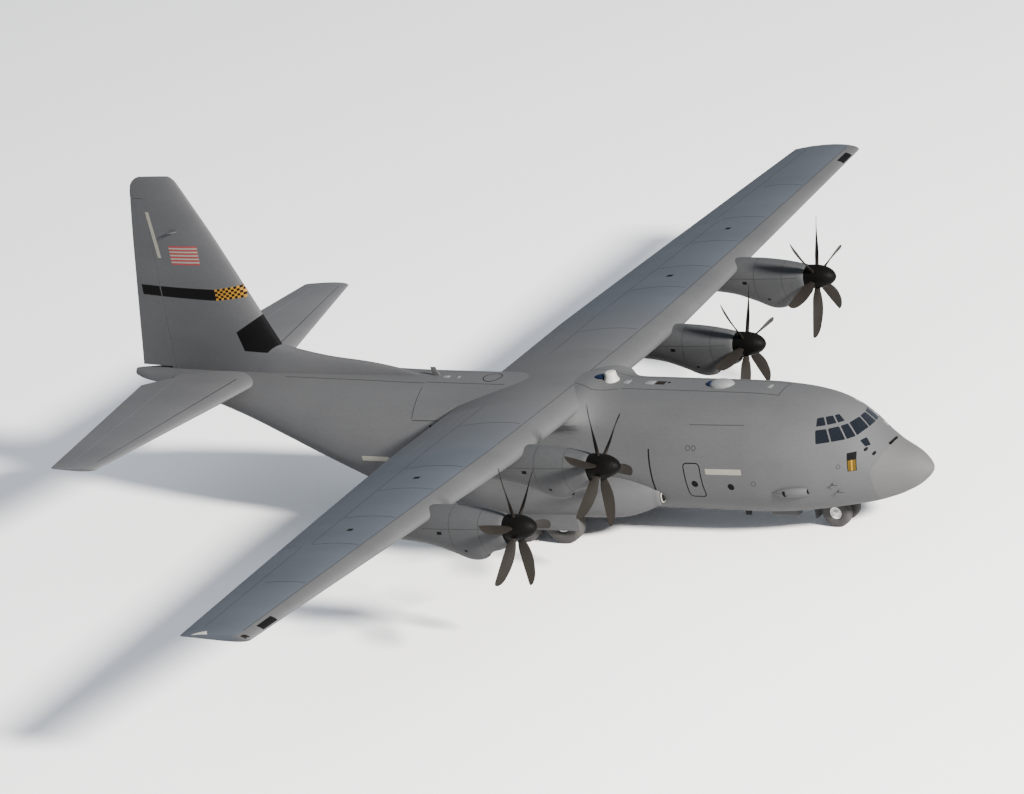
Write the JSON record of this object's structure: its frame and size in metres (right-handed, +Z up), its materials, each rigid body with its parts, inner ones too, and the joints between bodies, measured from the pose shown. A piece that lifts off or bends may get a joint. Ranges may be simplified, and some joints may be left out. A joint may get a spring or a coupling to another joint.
{
  "type": "four-engined turboprop military transport aeroplane, half-size model",
  "caption": "High-wing turboprop military transport aeroplane parked on its landing gear, with a hollow cargo hold, rear ramp, swept propeller blades and tall fin; half-size model.",
  "frame": {"origin": "centre of the bounding box on the ground plane under the wheels", "axes": "+Z up, nose towards -Y, left wing towards +X"},
  "size_m": [20.205, 14.895, 5.92],
  "materials": {
    "fuselage_grey": "matte",
    "wing_grey": "matte",
    "radome_grey": "matte",
    "cabin_grey": "matte",
    "seat_grey": "matte",
    "cockpit_glass": null,
    "engine_metal": "satin",
    "propeller_black": "satin",
    "gear_metal": "satin",
    "tyres": "matte"
  },
  "bodies": {
    "airframe": {"radome": "radome_grey", "flight_deck_shell": "fuselage_grey", "cockpit_glazing": "cockpit_glass", "flight_deck_floor": "cabin_grey", "centre_fuselage": "fuselage_grey", "cargo_floor": "cabin_grey", "aft_fuselage": "fuselage_grey", "wing_centre": "wing_grey", "wing_left": "wing_grey", "wing_right": "wing_grey", "stabilizer": "wing_grey", "fin": "fuselage_grey", "nacelle_1": "fuselage_grey", "nacelle_2": "fuselage_grey", "nacelle_3": "fuselage_grey", "nacelle_4": "fuselage_grey", "engine_1": "engine_metal", "engine_2": "engine_metal", "engine_3": "engine_metal", "engine_4": "engine_metal", "sponson_left": "fuselage_grey", "paratroop_door_left": "fuselage_grey", "pilot_seat_left": "seat_grey", "main_leg_left": "gear_metal", "main_gear_door_left": "fuselage_grey", "sponson_right": "fuselage_grey", "paratroop_door_right": "fuselage_grey", "pilot_seat_right": "seat_grey", "main_leg_right": "gear_metal", "main_gear_door_right": "fuselage_grey", "nose_strut": "gear_metal", "nose_gear_door": "fuselage_grey"},
    "crew_door": {"crew_door": "fuselage_grey"},
    "ramp": {"ramp": "fuselage_grey"},
    "cargo_door": {"cargo_door": "fuselage_grey"},
    "flap_left_outer": {"flap_left_outer": "wing_grey"},
    "flap_left_inner": {"flap_left_inner": "wing_grey"},
    "flap_right_outer": {"flap_right_outer": "wing_grey"},
    "flap_right_inner": {"flap_right_inner": "wing_grey"},
    "aileron_left": {"aileron_left": "wing_grey"},
    "aileron_right": {"aileron_right": "wing_grey"},
    "elevator_left": {"elevator_left": "wing_grey"},
    "elevator_right": {"elevator_right": "wing_grey"},
    "rudder": {"rudder": "fuselage_grey"},
    "propeller_1": {"propeller_1": "propeller_black"},
    "propeller_2": {"propeller_2": "propeller_black"},
    "propeller_3": {"propeller_3": "propeller_black"},
    "propeller_4": {"propeller_4": "propeller_black"},
    "main_wheel_left_front": {"main_tyre_left_front": "tyres", "main_hub_left_front": "gear_metal"},
    "main_wheel_left_rear": {"main_tyre_left_rear": "tyres", "main_hub_left_rear": "gear_metal"},
    "main_wheel_right_front": {"main_tyre_right_front": "tyres", "main_hub_right_front": "gear_metal"},
    "main_wheel_right_rear": {"main_tyre_right_rear": "tyres", "main_hub_right_rear": "gear_metal"},
    "nose_fork": {"nose_fork": "gear_metal"},
    "nose_wheels": {"nose_wheel_hubs": "gear_metal", "nose_tyre_left": "tyres", "nose_tyre_right": "tyres"}
  },
  "joints": [
    {"name": "crew_door_hinge", "type": "hinge", "parent": "airframe", "child": "crew_door", "pos_m": [0.80098, -5.0875, 0.556], "axis": [0, 1, 0], "range_deg": [0, 95]},
    {"name": "ramp_hinge", "type": "hinge", "parent": "airframe", "child": "ramp", "pos_m": [0, 1.8175, 0.45623], "axis": [1, 0, 0], "range_deg": [-38, 0]},
    {"name": "cargo_door_hinge", "type": "hinge", "parent": "airframe", "child": "cargo_door", "pos_m": [0, 5.1475, 1.89854], "axis": [1, 0, 0], "range_deg": [-26, 0]},
    {"name": "flap_left_outer_swing", "type": "hinge", "parent": "airframe", "child": "flap_left_outer", "pos_m": [2.84, 0.00516, 1.98359], "axis": [0.9972, -0.0624, 0.041], "range_deg": [-36, 0]},
    {"name": "flap_left_inner_swing", "type": "hinge", "parent": "airframe", "child": "flap_left_inner", "pos_m": [1.125, 0.00797, 1.96395], "axis": [0.9999, 0, 0.0106], "range_deg": [-36, 0]},
    {"name": "flap_right_outer_swing", "type": "hinge", "parent": "airframe", "child": "flap_right_outer", "pos_m": [-2.84, 0.00516, 1.98359], "axis": [0.9972, 0.0624, -0.041], "range_deg": [-36, 0]},
    {"name": "flap_right_inner_swing", "type": "hinge", "parent": "airframe", "child": "flap_right_inner", "pos_m": [-1.125, 0.00797, 1.96395], "axis": [0.9999, 0, -0.0106], "range_deg": [-36, 0]},
    {"name": "aileron_left_hinge", "type": "hinge", "parent": "airframe", "child": "aileron_left", "pos_m": [8.3275, -0.25858, 2.45203], "axis": [0.9967, -0.0714, 0.0392], "range_deg": [-15, 25]},
    {"name": "aileron_right_hinge", "type": "hinge", "parent": "airframe", "child": "aileron_right", "pos_m": [-8.3275, -0.25858, 2.45203], "axis": [0.9967, 0.0714, -0.0392], "range_deg": [-15, 25]},
    {"name": "elevator_left_hinge", "type": "hinge", "parent": "airframe", "child": "elevator_left", "pos_m": [2.065, 6.31306, 2.37], "axis": [0.9986, -0.0529, 0], "range_deg": [-15, 40]},
    {"name": "elevator_right_hinge", "type": "hinge", "parent": "airframe", "child": "elevator_right", "pos_m": [-2.065, 6.31306, 2.37], "axis": [0.9986, 0.0529, 0], "range_deg": [-15, 40]},
    {"name": "rudder_hinge", "type": "hinge", "parent": "airframe", "child": "rudder", "pos_m": [0, 6.55161, 4.0325], "axis": [0, -0.026, 0.9997], "range_deg": [-35, 35]},
    {"name": "propeller_1_spin", "type": "hinge", "parent": "airframe", "child": "propeller_1", "pos_m": [5.09, -2.9975, 2.12], "axis": [0, 1, 0], "continuous": true},
    {"name": "propeller_2_spin", "type": "hinge", "parent": "airframe", "child": "propeller_2", "pos_m": [2.485, -2.9975, 1.99], "axis": [0, 1, 0], "continuous": true},
    {"name": "propeller_3_spin", "type": "hinge", "parent": "airframe", "child": "propeller_3", "pos_m": [-2.485, -2.9975, 1.99], "axis": [0, 1, 0], "continuous": true},
    {"name": "propeller_4_spin", "type": "hinge", "parent": "airframe", "child": "propeller_4", "pos_m": [-5.09, -2.9975, 2.12], "axis": [0, 1, 0], "continuous": true},
    {"name": "main_wheel_left_front_spin", "type": "hinge", "parent": "airframe", "child": "main_wheel_left_front", "pos_m": [1.085, -1.1775, 0.355], "axis": [1, 0, 0], "continuous": true},
    {"name": "main_wheel_left_rear_spin", "type": "hinge", "parent": "airframe", "child": "main_wheel_left_rear", "pos_m": [1.085, -0.4125, 0.355], "axis": [1, 0, 0], "continuous": true},
    {"name": "main_wheel_right_front_spin", "type": "hinge", "parent": "airframe", "child": "main_wheel_right_front", "pos_m": [-1.085, -1.1775, 0.355], "axis": [1, 0, 0], "continuous": true},
    {"name": "main_wheel_right_rear_spin", "type": "hinge", "parent": "airframe", "child": "main_wheel_right_rear", "pos_m": [-1.085, -0.4125, 0.355], "axis": [1, 0, 0], "continuous": true},
    {"name": "nose_steering", "type": "hinge", "parent": "airframe", "child": "nose_fork", "pos_m": [0, -5.6725, 0.6], "axis": [0, 0, 1], "range_deg": [-60, 60]},
    {"name": "nose_wheels_spin", "type": "hinge", "parent": "nose_fork", "child": "nose_wheels", "pos_m": [0, -5.6725, 0.2475], "axis": [1, 0, 0], "continuous": true}
  ],
  "couplings": [
    {"joint": "flap_left_inner_swing", "follows": "flap_left_outer_swing", "ratio": 1},
    {"joint": "flap_right_outer_swing", "follows": "flap_left_outer_swing", "ratio": 1},
    {"joint": "flap_right_inner_swing", "follows": "flap_left_outer_swing", "ratio": 1},
    {"joint": "elevator_right_hinge", "follows": "elevator_left_hinge", "ratio": 1}
  ]
}
